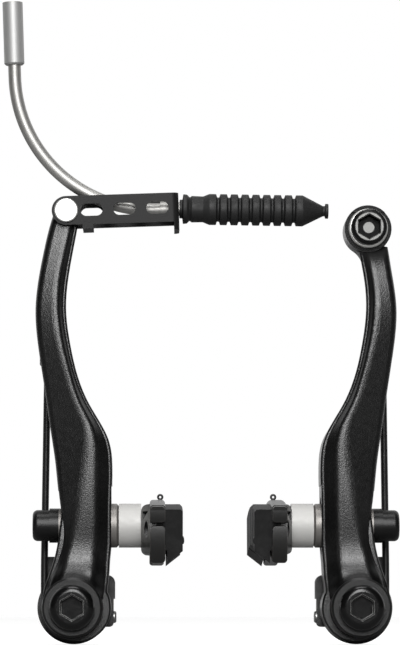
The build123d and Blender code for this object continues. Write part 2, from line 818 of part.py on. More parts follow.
# Shoe: holder and pad follow the rim, so their sections turn about the wheel's axis
holder_back = thick_flat + spine_thickness
holder_front = holder_back + holder_thickness
pad_back = holder_front + holder_slit
pad_face = pad_back + pad_thickness
shoe_middle = shoe_height - shoe_drop
wheel_height = shoe_middle - rim_radius
wheel_axis = Axis((0, -cable_plane, wheel_height), (1, 0, 0))
shoe_arc = degrees(shoe_length / rim_radius)


def rim_plane(angle):
    """Cross-section plane of the shoe, turned about the wheel towards the viewer."""
    ahead = rim_radius * sin(radians(angle))
    up = rim_radius * cos(radians(angle))
    return Plane(
        (0, -cable_plane - ahead, wheel_height + up),
        x_dir=(1, 0, 0),
        z_dir=(0, -cos(radians(angle)), -sin(radians(angle))),
    )


far_end = rim_plane(-shoe_arc / 2)
near_end = rim_plane(shoe_arc / 2)
pin_x = holder_front - groove_depth / 2
pin_forward = cable_plane + pin_ahead
pin_top = shoe_middle + holder_half_height
pin_foot = shoe_middle + groove_half_height - groove_clearance - pin_bite
spine_middle = shoe_height - spine_drop
spine_depth = 2 * (spine_thickness + holder_round)


def spine_hollows(forward):
    """Eye and notch in the spine, drawn where its flat top ends."""
    eye_x = thick_flat + spine_eye_depth
    eye_top = (eye_x, spine_middle + spine_eye_height / 2)
    eye_bottom = (eye_x, spine_middle - spine_eye_height / 2)
    notch_top = spine_middle + spine_notch_top + spine_rib
    with BuildSketch(front_plane(forward)) as hollows:
        with BuildLine():
            ThreePointArc(eye_bottom, (eye_x - spine_eye_width / 2, spine_middle), eye_top)
            ThreePointArc(eye_top, (eye_x + spine_eye_width / 2, spine_middle), eye_bottom)
        make_face()
        with BuildLine():
            Polyline(
                (thick_flat + spine_rib, notch_top),
                (thick_flat + spine_rib, notch_top - spine_notch_height),
                (thick_flat + spine_thickness - spine_rib, notch_top),
                close=True,
            )
        make_face()
    return hollows.sketch


with BuildPart() as shoe_spine:
    with BuildSketch(Plane.XY.offset(spine_middle)):
        with BuildLine():
            Polyline(
                (holder_back + holder_round, -cable_plane - spine_length / 2),
                (holder_back + holder_round, -cable_plane + spine_length / 2),
                (thick_flat, -cable_plane + spine_top_length / 2),
                (thick_flat, -cable_plane - spine_top_length / 2),
                close=True,
            )
        make_face()
    extrude(amount=spine_half_height, both=True)
    with BuildSketch(front_plane(cable_plane)):
        with Locations((thick_flat + spine_depth / 2, spine_middle)):
            RectangleRounded(spine_depth, 2 * spine_half_height, spine_round)
    extrude(amount=spine_length, both=True, mode=Mode.INTERSECT)
    # Hollows that leave two crossing ribs at each end
    for side in (1, -1):
        hollows = spine_hollows(cable_plane + side * spine_top_length / 2)
        extrude(hollows, amount=side * spine_length, mode=Mode.SUBTRACT)

with BuildPart() as shoe_holder:
    with BuildSketch(far_end):
        with Locations(((holder_back + holder_front) / 2, 0)):
            RectangleRounded(holder_thickness, 2 * holder_half_height, holder_round)
        with Locations((holder_front - groove_depth / 2, 0)):
            Rectangle(groove_depth, 2 * groove_half_height, mode=Mode.SUBTRACT)
    revolve(axis=wheel_axis, revolution_arc=shoe_arc)
    # Closed end that keeps the pad from sliding out under braking
    stop_width = holder_thickness - 2 * end_stop_inset
    stop_bottom = end_stop_inset - holder_half_height
    with BuildSketch(near_end):
        with Locations(((holder_back + holder_front) / 2, (end_stop_top + stop_bottom) / 2)):
            RectangleRounded(stop_width, end_stop_top - stop_bottom, holder_round)
    revolve(axis=wheel_axis, revolution_arc=degrees(end_stop_length / rim_radius))
    cap_bottom = end_stop_top + end_stop_gap
    cap_top = holder_half_height - end_stop_inset
    with BuildSketch(near_end):
        with Locations(((holder_back + holder_front) / 2, (cap_bottom + cap_top) / 2)):
            RectangleRounded(stop_width, cap_top - cap_bottom, holder_round)
    revolve(axis=wheel_axis, revolution_arc=degrees(end_stop_length / rim_radius))
    # Spine behind the channel: a seat for the thick washer, and hollowed ribs each way
    add(shoe_spine.part)
    with BuildSketch(Plane.YZ.offset(thick_flat)):
        with Locations((-cable_plane, shoe_height)):
            Circle(stud_radius)
    extrude(amount=stud_seat, mode=Mode.SUBTRACT)
    with BuildSketch(Plane.XY.offset(shoe_middle)):
        with Locations((pin_x, -pin_forward)):
            Circle(pin_wire_radius)
    extrude(amount=2 * holder_half_height, mode=Mode.SUBTRACT)

# Brake pad: rubber insert with a rib in the holder's channel, bevelled towards the hub
rib_back = holder_front - groove_depth
rib_half = groove_half_height - groove_clearance
with BuildPart() as brake_pad:
    with BuildSketch(far_end):
        with BuildLine():
            Polyline(
                (rib_back, -rib_half),
                (holder_front, -rib_half),
                (holder_front, -holder_slit_top),
                (pad_back, -holder_slit_top),
                (pad_back, -pad_bottom),
                (pad_face, -pad_bottom + pad_bevel_height),
                (pad_face, pad_top - pad_top_bevel),
                (pad_face - pad_top_bevel, pad_top),
                (holder_front, pad_top),
                (holder_front, rib_half),
                (rib_back, rib_half),
                close=True,
            )
        make_face()
    revolve(axis=wheel_axis, revolution_arc=shoe_arc)
    with BuildSketch(near_end):
        with Locations((pad_face, -pad_nub_drop)):
            Ellipse(pad_nub_width, pad_nub_height / 2)
    revolve(axis=wheel_axis, revolution_arc=-degrees(pad_nub_length / rim_radius))
    with BuildSketch(Plane.YZ.offset(pad_face)):
        with Locations((-cable_plane, shoe_middle)):
            with GridLocations(pad_slot_pitch, 0, 3, 1):
                Rectangle(pad_slot_width, 4 * holder_half_height)
    extrude(amount=-pad_slot_depth, mode=Mode.SUBTRACT)
    with BuildSketch(Plane.XY.offset(pin_foot)):
        with Locations((pin_x, -pin_forward)):
            Circle(pin_wire_radius)
    extrude(amount=2 * pin_bite, mode=Mode.SUBTRACT)

# Pad pin: wire through the holder's top wall into the pad's rib, with a loop to pull it by
with BuildPart() as pad_pin:
    with BuildSketch(Plane.XY.offset(pin_foot)):
        with Locations((pin_x, -pin_forward)):
            Circle(pin_wire_radius)
    extrude(amount=pin_top + pin_wire_radius - pin_foot)
    with Locations(Location((pin_x, -pin_forward, pin_top + pin_loop_radius), (90, 0, 0))):
        Torus(pin_loop_radius, pin_wire_radius)

# Link: stamped channel on the left arm's tip, closed at the end that holds the noodle
link_pose = Plane(
    (pivot_x - rivet_out, -cable_plane, rivet_height),
    x_dir=(cos(radians(link_tilt)), 0, sin(radians(link_tilt))),
    z_dir=(0, -1, 0),
)
link_half_width = link_gap / 2 + link_plate
link_wall = link_length - link_plate
slot_places = [(link_first_slot + link_slot_pitch * count, 0) for count in range(3)]


def across_link(along):
    """Plane square to the link's length, at a distance from the rivet."""
    return Plane(
        link_pose.from_local_coords((along, 0, 0)), x_dir=(0, 1, 0), z_dir=link_pose.x_dir
    )


with BuildPart() as link:
    with BuildSketch(link_pose):
        Circle(link_half_height)
        with Locations((link_length / 2, 0)):
            Rectangle(link_length, 2 * link_half_height)
        with Locations((link_length - link_plate, -link_end_drop / 2)):
            Rectangle(2 * link_plate, link_end_drop)
    extrude(amount=link_half_width, both=True)
    upright = link.edges().filter_by(Axis((0, 0, 0), link_pose.y_dir))
    fillet(upright.group_by(Axis.X)[-1], link_bend_radius)
    with BuildSketch(link_pose):
        with Locations((0, 0)):
            Rectangle(2 * link_wall, 4 * link_length)
    extrude(amount=link_gap / 2, both=True, mode=Mode.SUBTRACT)
    with BuildSketch(link_pose):
        with Locations((link_wall - link_plate, -link_half_height - link_half_height / 2)):
            Rectangle(2 * link_plate, link_half_height)
    extrude(amount=link_half_width, both=True, mode=Mode.SUBTRACT)
    with BuildSketch(link_pose):
        with Locations((link_strap_at, -link_half_height - link_strap_drop / 2)):
            Rectangle(link_strap_width, link_strap_drop)
    extrude(amount=link_half_width, both=True)
    with BuildSketch(link_pose):
        with Locations(*slot_places):
            SlotOverall(link_slot_length, link_slot_width)
        Circle(rivet_radius + running_clearance)
    extrude(amount=2 * link_half_width, both=True, mode=Mode.SUBTRACT)
    with BuildSketch(across_link(link_wall - link_plate)):
        Circle(link_hole_radius)
        with Locations((0, link_half_height)):
            Rectangle(link_entry_width, 2 * link_half_height)
    extrude(amount=4 * link_plate, mode=Mode.SUBTRACT)
save(link.part, "link")

# Link rivet: through both plates and the arm's tip
with BuildPart() as link_rivet:
    with BuildSketch(link_pose):
        Circle(rivet_radius)
    extrude(amount=link_half_width, both=True)
    rear_head = link_pose.offset(-link_half_width - rivet_head_height)
    with BuildSketch(link_pose.offset(link_half_width), rear_head):
        Circle(rivet_head_radius)
    extrude(amount=rivet_head_height)
    fillet(link_rivet.faces().sort_by(Axis.Y)[0].edges(), rivet_head_height / 2)
    fillet(link_rivet.faces().sort_by(Axis.Y)[-1].edges(), rivet_head_height / 2)
save(link_rivet.part, "link_rivet")

# Noodle: bent tube, in the link's own frame
tube_end = link_wall - nose_shoulder_length
bend_end = tube_end - noodle_run_out
leg_at = bend_end - noodle_bend
ferrule_foot = noodle_bend + noodle_straight
tube_top = ferrule_foot + ferrule_grip
socket_floor = tube_top + ferrule_floor


def bent_tube(top, end, outer, inner):
    """Sweep a tube down the noodle's leg, round its bend and along the link."""
    with BuildLine(link_pose) as path:
        FilletPolyline((leg_at, top), (leg_at, 0), (end, 0), radius=noodle_bend)
    wire = path.wire()
    with BuildSketch(Plane(wire @ 0, z_dir=wire % 0)) as ring:
        Circle(outer)
        Circle(inner, mode=Mode.SUBTRACT)
    sweep(ring.sketch, path=wire)


with BuildPart() as noodle_tube:
    bent_tube(tube_top, tube_end, noodle_radius, noodle_radius - noodle_wall)
save(noodle_tube.part, "noodle_tube")

liner_end = link_wall + nose_length + liner_stick_out
with BuildPart() as noodle_liner:
    bent_tube(socket_floor, liner_end, liner_radius, liner_bore / 2)
save(noodle_liner.part, "noodle_liner")

# Ferrule: socket for the cable housing on top of the noodle
leg_top = link_pose.from_local_coords((leg_at, ferrule_foot, 0))
ferrule_pose = Plane(leg_top, x_dir=link_pose.x_dir, z_dir=link_pose.y_dir)
with BuildPart() as ferrule:
    with BuildSketch(ferrule_pose):
        Circle(ferrule_radius)
    extrude(amount=ferrule_length)
    chamfer(ferrule.faces().sort_by(Axis.Z)[0].edges(), ferrule_floor / 2)
    with BuildSketch(ferrule_pose):
        Circle(noodle_radius)
    extrude(amount=ferrule_grip, mode=Mode.SUBTRACT)
    with BuildSketch(ferrule_pose):
        Circle(liner_radius)
    extrude(amount=ferrule_length, mode=Mode.SUBTRACT)
    with BuildSketch(ferrule_pose.offset(socket_floor - ferrule_foot)):
        Circle(ferrule_bore / 2)
    extrude(amount=ferrule_length, mode=Mode.SUBTRACT)
save(ferrule.part, "noodle_ferrule")

# Nose: turned fitting that seats the noodle's end in the link
with BuildPart() as nose:
    with BuildSketch(across_link(tube_end - nose_sleeve_length)):
        Circle(nose_sleeve_radius)
    extrude(amount=nose_sleeve_length)
    with BuildSketch(across_link(tube_end)):
        Circle(nose_shoulder_radius)
    extrude(amount=nose_shoulder_length)
    with BuildSketch(across_link(link_wall)):
        Circle(nose_radius)
    extrude(amount=nose_length)
    with BuildSketch(across_link(tube_end - nose_sleeve_length)):
        Circle(noodle_radius + running_clearance)
    extrude(amount=nose_sleeve_length, mode=Mode.SUBTRACT)
    with BuildSketch(across_link(tube_end)):
        Circle(liner_radius + running_clearance)
    extrude(amount=link_length, mode=Mode.SUBTRACT)
save(nose.part, "noodle_nose")

# Boot: ribbed rubber sleeve over the bare cable, drooping a little from the link
boot_start = link_pose.from_local_coords((link_length + boot_gap, 0, 0))
boot_lean = radians(link_tilt - boot_droop)
boot_pose = Plane(boot_start, x_dir=(cos(boot_lean), 0, sin(boot_lean)), z_dir=(0, -1, 0))
rib_slope = (boot_rib_pitch - boot_rib_width) / 4
lip_start = boot_collar_length + 2 * boot_edge
boot_outline = [
    (0, boot_collar_radius),
    (boot_collar_length, boot_collar_radius),
    (lip_start, boot_lip_radius),
    (lip_start + boot_lip_width, boot_lip_radius - boot_edge),
    (boot_waist_at, boot_waist_radius),
    (boot_sleeve_start, boot_sleeve_radius),
    (boot_sleeve_end, boot_sleeve_radius - boot_edge),
]
for count in range(boot_ribs):
    rib_start = boot_first_rib + count * boot_rib_pitch
    if count:
        boot_outline.append((rib_start - rib_slope, boot_groove_radius))
    boot_outline.append((rib_start, boot_rib_radius))
    boot_outline.append((rib_start + boot_rib_width, boot_rib_radius))
    if count < boot_ribs - 1:
        boot_outline.append((rib_start + boot_rib_width + rib_slope, boot_groove_radius))
cone_start = boot_outline[-1][0]
cone_end = cone_start + boot_cone_length
bead_start = boot_length - boot_bead_width
boot_outline += [
    (cone_end, boot_tip_radius),
    (bead_start - boot_edge, boot_tip_radius),
    (bead_start, boot_bead_radius),
    (boot_length, boot_bead_radius),
    (boot_length, boot_tip_bore),
    (cone_end, boot_tip_bore),
    (cone_start, boot_wide_bore),
    (boot_sleeve_end, boot_wide_bore),
    (boot_sleeve_end - 2 * boot_bead_width, boot_bore_radius),
    (0, boot_bore_radius),
]
with BuildPart() as boot:
    with BuildSketch(boot_pose):
        with BuildLine():
            Polyline(boot_outline, close=True)
        make_face()
    revolve(axis=Axis(boot_start, boot_pose.x_dir))
save(boot.part, "cable_boot")

# Pieces that both sides have: drawn on the left, mirrored to the right
paired = {
    "pivot_bushing": pivot_bushing,
    "flange_washer": flange_washer,
    "mounting_bolt": mounting_bolt,
    "spring_carrier": spring_carrier,
    "stop_pin": stop_pin,
    "return_spring": return_spring,
    "tension_screw": tension_screw,
    "inner_convex_washer": inner_convex_washer,
    "inner_concave_washer": inner_concave_washer,
    "outer_convex_washer": outer_convex_washer,
    "outer_concave_washer": outer_concave_washer,
    "plain_washer": plain_washer,
    "shoe_nut": shoe_nut,
    "shoe_stud": shoe_stud,
    "shoe_holder": shoe_holder,
    "brake_pad": brake_pad,
    "pad_pin": pad_pin,
}
for name, piece in paired.items():
    save(piece.part, f"left_{name}")
    with BuildPart() as mirrored:
        mirror(piece.part, about=Plane.YZ)
    save(mirrored.part, f"right_{name}")
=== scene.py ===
from math import cos, pi, radians, sin

import bmesh
import bpy
from mathutils import Matrix, Vector


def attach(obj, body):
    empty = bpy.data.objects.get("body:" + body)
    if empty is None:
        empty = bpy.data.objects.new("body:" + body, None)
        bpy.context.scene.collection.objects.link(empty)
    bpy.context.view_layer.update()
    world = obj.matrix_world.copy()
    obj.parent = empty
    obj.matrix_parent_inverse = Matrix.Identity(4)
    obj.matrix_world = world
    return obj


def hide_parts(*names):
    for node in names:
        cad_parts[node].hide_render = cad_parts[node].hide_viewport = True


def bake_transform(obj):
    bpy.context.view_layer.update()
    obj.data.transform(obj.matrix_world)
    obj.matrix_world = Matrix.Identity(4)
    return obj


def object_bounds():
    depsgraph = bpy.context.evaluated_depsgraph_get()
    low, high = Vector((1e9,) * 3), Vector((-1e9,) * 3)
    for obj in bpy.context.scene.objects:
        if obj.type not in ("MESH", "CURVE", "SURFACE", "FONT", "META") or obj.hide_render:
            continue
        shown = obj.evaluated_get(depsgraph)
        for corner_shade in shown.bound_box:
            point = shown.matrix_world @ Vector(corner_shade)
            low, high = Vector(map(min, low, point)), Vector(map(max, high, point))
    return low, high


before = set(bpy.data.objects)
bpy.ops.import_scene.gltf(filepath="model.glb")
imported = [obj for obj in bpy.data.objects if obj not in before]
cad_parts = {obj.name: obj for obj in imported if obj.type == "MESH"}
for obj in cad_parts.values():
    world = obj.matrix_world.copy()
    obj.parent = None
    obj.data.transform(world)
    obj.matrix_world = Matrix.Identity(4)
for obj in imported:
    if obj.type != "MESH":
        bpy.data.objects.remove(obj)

solid_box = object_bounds()
mm = 0.001
sides = {"left": -1, "right": 1}

# Pivot bushings: plain steel sleeves that slide over the frame's bosses.
# They are turned on a lathe, which leaves faint rings round them, and the arms turn on them.
noise_low, noise_high = 0.3, 0.7


def finish(name, colour, roughness, metallic=0.0, specular=0.5):
    """New material whose even values sit on the shader itself."""
    material = bpy.data.materials.new(name)
    material.use_nodes = True
    shader = material.node_tree.nodes["Principled BSDF"]
    shader.inputs["Base Color"].default_value = (*colour, 1)
    shader.inputs["Roughness"].default_value = roughness
    shader.inputs["Metallic"].default_value = metallic
    shader.inputs["Specular IOR Level"].default_value = specular
    return material, material.node_tree, shader


def place(tree):
    """The piece's own coordinates, in metres."""
    return tree.nodes.new("ShaderNodeTexCoord").outputs["Object"]


def grain(tree, size, detail=2.0):
    """Noise with features of about the given size."""
    noise = tree.nodes.new("ShaderNodeTexNoise")
    noise.inputs["Scale"].default_value = 1 / size
    noise.inputs["Detail"].default_value = detail
    tree.links.new(place(tree), noise.inputs["Vector"])
    return noise.outputs["Fac"]


def rings(tree, axis, pitch, wobble=0.6):
    """Tool marks or threads that follow one another along an axis."""
    wave = tree.nodes.new("ShaderNodeTexWave")
    wave.bands_direction = axis
    wave.inputs["Scale"].default_value = pi / (10 * pitch)
    wave.inputs["Distortion"].default_value = wobble
    tree.links.new(place(tree), wave.inputs["Vector"])
    return wave.outputs["Fac"]


def spread(tree, value, low, high, start=0.0, end=1.0):
    """Stretch a value from low..high to start..end."""
    stretch = tree.nodes.new("ShaderNodeMapRange")
    stretch.inputs["From Min"].default_value = low
    stretch.inputs["From Max"].default_value = high
    stretch.inputs["To Min"].default_value = start
    stretch.inputs["To Max"].default_value = end
    tree.links.new(value, stretch.inputs["Value"])
    return stretch.outputs["Result"]


def relief(tree, shader, height, depth):
    """Let a height map rough up the surface by a depth."""
    bump = tree.nodes.new("ShaderNodeBump")
    bump.inputs["Distance"].default_value = depth
    tree.links.new(height, bump.inputs["Height"])
    tree.links.new(bump.outputs["Normal"], shader.inputs["Normal"])
    return bump


def mottle(tree, shader, size, smooth, rough, detail=2.0):
    """Let the roughness drift between two values, in patches of about the given size."""
    patches = spread(tree, grain(tree, size, detail), noise_low, noise_high, smooth, rough)
    tree.links.new(patches, shader.inputs["Roughness"])


def dress(material, *names):
    """Give solids their finish."""
    for name in names:
        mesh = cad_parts[name].data
        mesh.materials.clear()
        mesh.materials.append(material)


def both(name):
    """The left and the right solid of one kind."""
    return [f"{side}_{name}" for side in sides]


bushing_steel, tree, shader = finish("bushing_steel", (0.52, 0.51, 0.49), roughness=0.3, metallic=1.0)
relief(tree, shader, rings(tree, "Y", pitch=0.15 * mm), depth=0.01 * mm)
mottle(tree, shader, 3 * mm, smooth=0.24, rough=0.4)
dress(bushing_steel, *both("pivot_bushing"))


# Spring carriers: moulded black nylon hubs behind the arms that hold the springs' lower ends.
# Each sits on its boss, with a fine moulded grain all over.
def grey(level):
    """Even grey of the given level."""
    return (level, level, level)


carrier_plastic, tree, shader = finish("carrier_plastic", grey(0.006), roughness=0.5)
relief(tree, shader, grain(tree, 0.35 * mm, detail=3), depth=0.03 * mm)
mottle(tree, shader, 2 * mm, smooth=0.45, rough=0.62)
dress(carrier_plastic, *both("spring_carrier"))

# Stop pins and tension screws: zinc-plated steel, the pin pressed into the carrier's rear
# and the screw turned into its block from the wheel's side.
bright_steel, tree, shader = finish("bright_steel", (0.3, 0.3, 0.295), roughness=0.4, metallic=1.0)
relief(tree, shader, grain(tree, 0.2 * mm), depth=0.004 * mm)
mottle(tree, shader, 1.5 * mm, smooth=0.34, rough=0.48)
dress(bright_steel, *both("stop_pin"), *both("tension_screw"))

# Return springs: coated spring wire, hooked under each pivot and up the outside of the arm.
# The lower hook stays with the carrier and the upper end leans on the arm's lug.
wire_radius = 1.0 * mm
wire_segments = 16
hook_radius = 8.3 * mm
hook_forward = 3.8 * mm
hook_tail = 5.0 * mm
leg_bend = 12.0 * mm
leg_top = 76.0 * mm
leg_lean = Vector((0.9, -3.0, 0)) * mm
pivot_out = 40.0 * mm
tail_steps, hook_steps, bend_steps, leg_steps = 3, 28, 4, 24


def piece_from(bm, name, material, body=None):
    """Make an object of a finished bmesh, in place."""
    bmesh.ops.remove_doubles(bm, verts=bm.verts, dist=0.0005 * mm)
    bmesh.ops.recalc_face_normals(bm, faces=bm.faces)
    mesh = bpy.data.meshes.new(name)
    bm.to_mesh(mesh)
    bm.free()
    mesh.materials.append(material)
    obj = bpy.data.objects.new(name, mesh)
    bpy.context.scene.collection.objects.link(obj)
    for polygon in mesh.polygons:
        polygon.use_smooth = True
    if body:
        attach(obj, body)
    return obj


def pull(bm, ring, move):
    """Extrude an open ring of edges by a transform and return the new ring."""
    made = bmesh.ops.extrude_edge_only(bm, edges=ring)["geom"]
    verts = [v for v in made if isinstance(v, bmesh.types.BMVert)]
    bmesh.ops.transform(bm, matrix=move, verts=verts)
    return [e for e in made if isinstance(e, bmesh.types.BMEdge) and all(v in verts for v in e.verts)]


spring_wire, tree, shader = finish("spring_wire", grey(0.006), roughness=0.32)
relief(tree, shader, grain(tree, 0.25 * mm), depth=0.006 * mm)
mottle(tree, shader, 4 * mm, smooth=0.26, rough=0.42)
for side, sign in sides.items():
    bm = bmesh.new()
    tail = Vector((-pivot_out + hook_radius, -hook_forward, hook_tail))
    bmesh.ops.create_circle(
        bm, segments=wire_segments, radius=wire_radius, matrix=Matrix.Translation(tail)
    )
    ring = list(bm.edges)
    cap = ring
    for step in range(tail_steps):
        ring = pull(bm, ring, Matrix.Translation((0, 0, -hook_tail / tail_steps)))
    hub = Vector((-pivot_out, 0, 0))
    turn = Matrix.Translation(hub) @ Matrix.Rotation(pi / hook_steps, 4, "Y") @ Matrix.Translation(-hub)
    for step in range(hook_steps):
        ring = pull(bm, ring, turn)
    for step in range(bend_steps):
        ring = pull(bm, ring, Matrix.Translation((0, 0, leg_bend / bend_steps)))
    leg = (Vector((0, 0, leg_top - leg_bend)) + leg_lean) / leg_steps
    for step in range(leg_steps):
        ring = pull(bm, ring, Matrix.Translation(leg))
    for end in (cap, ring):
        bmesh.ops.contextual_create(bm, geom=end)
    if sign > 0:
        bmesh.ops.scale(bm, vec=(-1, 1, 1), verts=bm.verts)
    spring = piece_from(bm, f"{side}_spring_wire", spring_wire)
    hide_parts(f"{side}_return_spring")
    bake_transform(spring)

# Arms: cast and painted aluminium levers, one solid each, bored for the bushing at the foot.
# The satin black paint keeps the fine speckled skin of the casting, and its specular is
# turned down as painted shade in the corners above the pivots and under the cable clamp.
clamp_x, clamp_z = 42.6 * mm, 106.0 * mm
foot_radius, foot_fade = 9.4 * mm, 11.0 * mm
foot_low, foot_high = 4.0 * mm, 6.0 * mm
seat_radius, seat_fade = 6.9 * mm, 8.0 * mm
seat_rear, seat_front = -19.2 * mm, -19.8 * mm


def times(tree, a, b, operation="MULTIPLY"):
    """Two values taken together."""
    product = tree.nodes.new("ShaderNodeMath")
    product.operation = operation
    tree.links.new(a, product.inputs[0])
    tree.links.new(b, product.inputs[1])
    return product.outputs["Value"]


def along(tree, axis):
    """Place along one axis of the piece."""
    split = tree.nodes.new("ShaderNodeSeparateXYZ")
    tree.links.new(place(tree), split.inputs["Vector"])
    return split.outputs[axis]


def away_from(tree, out, height):
    """Distance from the front-to-back axis at a height, on either side of the middle."""
    size = tree.nodes.new("ShaderNodeMath")
    size.operation = "ABSOLUTE"
    tree.links.new(along(tree, "X"), size.inputs[0])
    level = tree.nodes.new("ShaderNodeCombineXYZ")
    tree.links.new(size.outputs["Value"], level.inputs["X"])
    tree.links.new(along(tree, "Z"), level.inputs["Z"])
    gap = tree.nodes.new("ShaderNodeVectorMath")
    gap.operation = "DISTANCE"
    gap.inputs[1].default_value = (out, 0, height)
    tree.links.new(level.outputs["Vector"], gap.inputs[0])
    return gap.outputs["Value"]


def stain(tree, shader, share, base, other):
    """Let the colour go from base to other with a share."""
    mix = tree.nodes.new("ShaderNodeMix")
    mix.data_type = "RGBA"
    mix.inputs[6].default_value = (*base, 1)
    mix.inputs[7].default_value = (*other, 1)
    tree.links.new(share, mix.inputs[0])
    tree.links.new(mix.outputs[2], shader.inputs["Base Color"])


arm_black = grey(0.003)
arm_paint, tree, shader = finish("arm_paint", arm_black, roughness=0.32)
speckle = grain(tree, 0.4 * mm, detail=3)
relief(tree, shader, speckle, depth=0.06 * mm)
# Painted shade: the specular drops from 0.5 to 0.08 in the corner above the pivot and under the cable
# clamp.
near_pivot = spread(tree, away_from(tree, pivot_out, 0.0), foot_radius, foot_fade, 1.0, 0.0)
foot = times(tree, near_pivot, spread(tree, along(tree, "Z"), foot_low, foot_high))
near_clamp = spread(tree, away_from(tree, clamp_x, clamp_z), seat_radius, seat_fade, 1.0, 0.0)
seat = times(tree, near_clamp, spread(tree, along(tree, "Y"), seat_rear, seat_front))
corner_shade = times(tree, foot, seat, "MAXIMUM")
tree.links.new(spread(tree, corner_shade, 0, 1, 0.5, 0.08), shader.inputs["Specular IOR Level"])
stain(tree, shader, spread(tree, speckle, 0.55, 0.78), arm_black, grey(0.008))
mottle(tree, shader, 1.2 * mm, smooth=0.28, rough=0.36, detail=4)
dress(arm_paint, "left_arm", "right_arm")


# Flange washers and mounting bolts: blackened steel, clamped onto the bushings by the bolts.
# Their edges are painted lighter all round as a painted highlight, the bolts' nearly steel-bright round
# the hex sockets.
def edge_mask(tree, radius, bare=0.9, sound=0.99):
    """1 along the piece's edges and 0 on its faces."""
    soft = tree.nodes.new("ShaderNodeBevel")
    soft.samples = 6
    soft.inputs["Radius"].default_value = radius
    true = tree.nodes.new("ShaderNodeNewGeometry")
    match = tree.nodes.new("ShaderNodeVectorMath")
    match.operation = "DOT_PRODUCT"
    tree.links.new(soft.outputs["Normal"], match.inputs[0])
    tree.links.new(true.outputs["Normal"], match.inputs[1])
    return spread(tree, match.outputs["Value"], bare, sound, 1.0, 0.0)


flange_black = grey(0.005)
washer_black, tree, shader = finish("washer_black", flange_black, roughness=0.36, specular=0.32)
relief(tree, shader, grain(tree, 0.35 * mm, detail=3), depth=0.04 * mm)
# Painted highlight: the washers' edges go from black to a dark grey.
stain(tree, shader, edge_mask(tree, 0.15 * mm), flange_black, grey(0.06))
dress(washer_black, *both("flange_washer"))

bolt_black, edge_highlight_steel = grey(0.003), (0.4, 0.4, 0.39)
black_steel, tree, shader = finish("black_steel", bolt_black, roughness=0.2, specular=0.25)
relief(tree, shader, grain(tree, 0.3 * mm, detail=3), depth=0.012 * mm)
# Painted highlight: the bolts' edges, the hex sockets' mouths among them, go from black to steel grey.
stain(tree, shader, edge_mask(tree, 0.2 * mm), bolt_black, edge_highlight_steel)
mottle(tree, shader, 1 * mm, smooth=0.16, rough=0.24)
dress(black_steel, *both("mounting_bolt"))

# Ball washers: domed steel washers flat on the arm, and bowled aluminium ones that tilt on them.
# The bowls are tumbled matt and pale, and the domes are darker and smoother.
grey_steel, tree, shader = finish("grey_steel", (0.2, 0.19, 0.18), roughness=0.45, metallic=0.6)
relief(tree, shader, grain(tree, 0.2 * mm), depth=0.006 * mm)
mottle(tree, shader, 2 * mm, smooth=0.4, rough=0.5)
dress(grey_steel, *both("inner_convex_washer"), *both("outer_convex_washer"), *both("plain_washer"))

washer_aluminium, tree, shader = finish(
    "washer_aluminium", (0.5, 0.495, 0.48), roughness=0.65, metallic=0.2
)
relief(tree, shader, grain(tree, 0.25 * mm, detail=3), depth=0.02 * mm)
mottle(tree, shader, 1 * mm, smooth=0.54, rough=0.66)
dress(washer_aluminium, *both("inner_concave_washer"), *both("outer_concave_washer"))

# Shoe nuts: blackened steel cap nuts that clamp the washers to the arms.
# Their coat is a little duller than the bolts', and their edges are not painted lighter.
nut_black, tree, shader = finish("nut_black", bolt_black, roughness=0.36, specular=0.25)
relief(tree, shader, grain(tree, 0.3 * mm, detail=3), depth=0.01 * mm)
dress(nut_black, *both("shoe_nut"))

# Shoe studs: plated steel with a rolled thread, pressed into the holders.
# The thread runs out under the nut.
stud_steel, tree, shader = finish("stud_steel", (0.5, 0.49, 0.47), roughness=0.3, metallic=1.0)
relief(tree, shader, rings(tree, "X", pitch=1.0 * mm, wobble=0.0), depth=0.25 * mm)
dress(stud_steel, *both("shoe_stud"))

# Shoe holders: die-cast channels in brown-black paint, which carry the pads along the rim.
# The cap and the stop at their ends are crowned, each about its own middle, and the edges
# are a lighter brown-black.
cap_middle, cap_reach, cap_level = 24.4 * mm, 4.5 * mm, 0.85
stop_middle, stop_reach, stop_level = 17.3 * mm, 5.5 * mm, 0.0
crown_rise = 0.62 * mm
brown_black, edge_brown = (0.005, 0.0048, 0.0044), (0.03, 0.028, 0.026)
holder_paint, tree, shader = finish("holder_paint", brown_black, roughness=0.35, specular=0.35)
skin = relief(tree, shader, grain(tree, 0.4 * mm, detail=3), depth=0.01 * mm)
falls = []
for middle, reach, level in (
    (cap_middle, cap_reach, cap_level), (stop_middle, stop_reach, stop_level)
):
    off_middle = spread(tree, along(tree, "Z"), middle - reach, middle + reach, -1.0, 1.0)
    falls.append(spread(tree, times(tree, off_middle, off_middle), 0, 1, level, level + 1))
crown = tree.nodes.new("ShaderNodeBump")
crown.inputs["Distance"].default_value = crown_rise
crown.invert = True
tree.links.new(times(tree, *falls, "MINIMUM"), crown.inputs["Height"])
tree.links.new(crown.outputs["Normal"], skin.inputs["Normal"])
stain(tree, shader, edge_mask(tree, 0.25 * mm, bare=0.8), brown_black, edge_brown)
mottle(tree, shader, 1.5 * mm, smooth=0.32, rough=0.38)
dress(holder_paint, *both("shoe_holder"))

# Brake pads: moulded black rubber inserts that slide into the holders' channels.
# The rubber is matt, with a dusty bloom, and a wire pin keeps each pad in place.
rubber_black = grey(0.004)
pad_rubber, tree, shader = finish("pad_rubber", rubber_black, roughness=0.6, specular=0.2)
relief(tree, shader, grain(tree, 0.3 * mm, detail=3), depth=0.02 * mm)
bloom = spread(tree, grain(tree, 2.5 * mm, detail=4), 0.45, 0.8)
stain(tree, shader, bloom, rubber_black, grey(0.012))
dress(pad_rubber, *both("brake_pad"))
dress(spring_wire, *both("pad_pin"))

